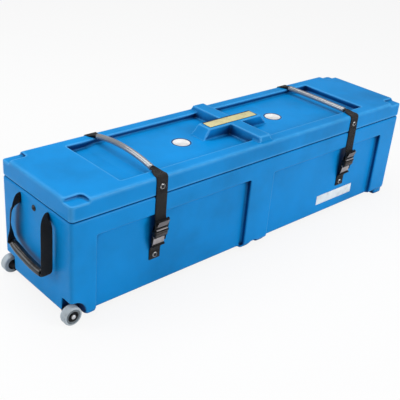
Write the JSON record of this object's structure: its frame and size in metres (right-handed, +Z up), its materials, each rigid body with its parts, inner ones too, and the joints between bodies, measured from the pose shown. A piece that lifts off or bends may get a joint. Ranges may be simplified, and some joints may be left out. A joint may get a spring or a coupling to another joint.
{
  "type": "drum hardware case",
  "caption": "Long moulded case for drum stands: ribbed body on feet, strap-hinged lid, buckled webbing straps, end handles and wheels under one end.",
  "frame": {"origin": "on the floor, below the middle of the case", "axes": "+X along the case, away from the wheels; +Y to the rear, where the lid's webbing hinge is; -Y is the front with the buckles; +Z up"},
  "size_m": [1.342, 0.3297, 0.3588],
  "materials": {
    "shell": "semi-matte rotomoulded blue",
    "webbing": "woven, near black",
    "buckle": "satin black moulded",
    "carry_tube": "clear grey flexible tube",
    "grip": "glossy black tube",
    "tyre": "pale grey rubber",
    "hub": "satin black",
    "steel": "bright plated",
    "plate": "pale yellow, bare",
    "disc": "off-white, bare"
  },
  "bodies": {
    "case": {"body_shell": "shell", "panel_label": "disc", "hinge_strap_left": "webbing", "hinge_strap_right": "webbing", "body_rear_left_washer": "steel", "body_rear_left_screw": "steel", "body_rear_right_washer": "steel", "body_rear_right_screw": "steel", "buckle_socket_left": "buckle", "buckle_socket_right": "buckle", "lower_strap_left": "webbing", "lower_strap_right": "webbing", "lower_left_washer": "steel", "lower_left_screw": "steel", "lower_right_washer": "steel", "lower_right_screw": "steel", "handle_inner_run_wheel_end": "webbing", "handle_inner_run_far_end": "webbing", "handle_wheel_end_washer": "steel", "handle_wheel_end_screw": "steel", "handle_far_end_washer": "steel", "handle_far_end_screw": "steel", "axle_bolt_front": "steel", "axle_bolt_rear": "steel"},
    "lid": {"lid_shell": "shell", "name_plate": "plate", "lid_disc_left": "disc", "lid_disc_right": "disc", "lid_strap_front_left": "webbing", "lid_strap_front_right": "webbing", "tube_webbing_left": "webbing", "tube_webbing_right": "webbing", "lid_strap_rear_left": "webbing", "lid_strap_rear_right": "webbing", "carry_tube_left": "carry_tube", "carry_tube_right": "carry_tube", "lid_front_left_washer": "steel", "lid_front_left_screw": "steel", "lid_front_right_washer": "steel", "lid_front_right_screw": "steel", "lid_rear_left_washer": "steel", "lid_rear_left_screw": "steel", "lid_rear_right_washer": "steel", "lid_rear_right_screw": "steel"},
    "tail_left": {"strap_tail_left": "webbing", "buckle_plug_left": "buckle"},
    "tail_right": {"strap_tail_right": "webbing", "buckle_plug_right": "buckle"},
    "prong_left_a": {"buckle_prong_left_a": "buckle"},
    "prong_left_b": {"buckle_prong_left_b": "buckle"},
    "prong_right_a": {"buckle_prong_right_a": "buckle"},
    "prong_right_b": {"buckle_prong_right_b": "buckle"},
    "handle_wheel_end": {"handle_webbing_wheel_end": "webbing", "handle_grip_wheel_end": "grip"},
    "handle_far_end": {"handle_webbing_far_end": "webbing", "handle_grip_far_end": "grip"},
    "wheel_front": {"wheel_tyre_front": "tyre", "wheel_hub_front": "hub"},
    "wheel_rear": {"wheel_tyre_rear": "tyre", "wheel_hub_rear": "hub"}
  },
  "joints": [
    {"name": "lid_hinge", "type": "hinge", "parent": "case", "child": "lid", "pos_m": [0, 0.1563, 0.281], "axis": [-1, 0, 0], "range_deg": [0, 110]},
    {"name": "tail_fold_left", "type": "hinge", "parent": "lid", "child": "tail_left", "pos_m": [-0.374, -0.1535, 0.225], "axis": [-1, 0, 0], "range_deg": [-99, 0]},
    {"name": "tail_fold_right", "type": "hinge", "parent": "lid", "child": "tail_right", "pos_m": [0.386, -0.1535, 0.225], "axis": [-1, 0, 0], "range_deg": [-99, 0]},
    {"name": "prong_squeeze_left_a", "type": "slide", "parent": "tail_left", "child": "prong_left_a", "axis": [1, 0, 0], "range_m": [0, 0.003], "stiffness_N_per_m": 200},
    {"name": "prong_squeeze_left_b", "type": "slide", "parent": "tail_left", "child": "prong_left_b", "axis": [-1, 0, 0], "range_m": [0, 0.003], "stiffness_N_per_m": 200},
    {"name": "prong_squeeze_right_a", "type": "slide", "parent": "tail_right", "child": "prong_right_a", "axis": [1, 0, 0], "range_m": [0, 0.003], "stiffness_N_per_m": 200},
    {"name": "prong_squeeze_right_b", "type": "slide", "parent": "tail_right", "child": "prong_right_b", "axis": [-1, 0, 0], "range_m": [0, 0.003], "stiffness_N_per_m": 200},
    {"name": "handle_lift_wheel_end", "type": "hinge", "parent": "case", "child": "handle_wheel_end", "pos_m": [-0.637, 0.004, 0.264], "axis": [0, 1, 0], "range_deg": [0, 100]},
    {"name": "handle_lift_far_end", "type": "hinge", "parent": "case", "child": "handle_far_end", "pos_m": [0.637, 0.004, 0.264], "axis": [0, -1, 0], "range_deg": [0, 100]},
    {"name": "wheel_spin_front", "type": "hinge", "parent": "case", "child": "wheel_front", "pos_m": [-0.628, -0.1415, 0.025], "axis": [0, 1, 0], "continuous": true},
    {"name": "wheel_spin_rear", "type": "hinge", "parent": "case", "child": "wheel_rear", "pos_m": [-0.628, 0.1415, 0.025], "axis": [0, 1, 0], "continuous": true}
  ],
  "couplings": [
    {"joint": "tail_fold_left", "follows": "lid_hinge", "ratio": -0.9},
    {"joint": "tail_fold_right", "follows": "lid_hinge", "ratio": -0.9}
  ]
}
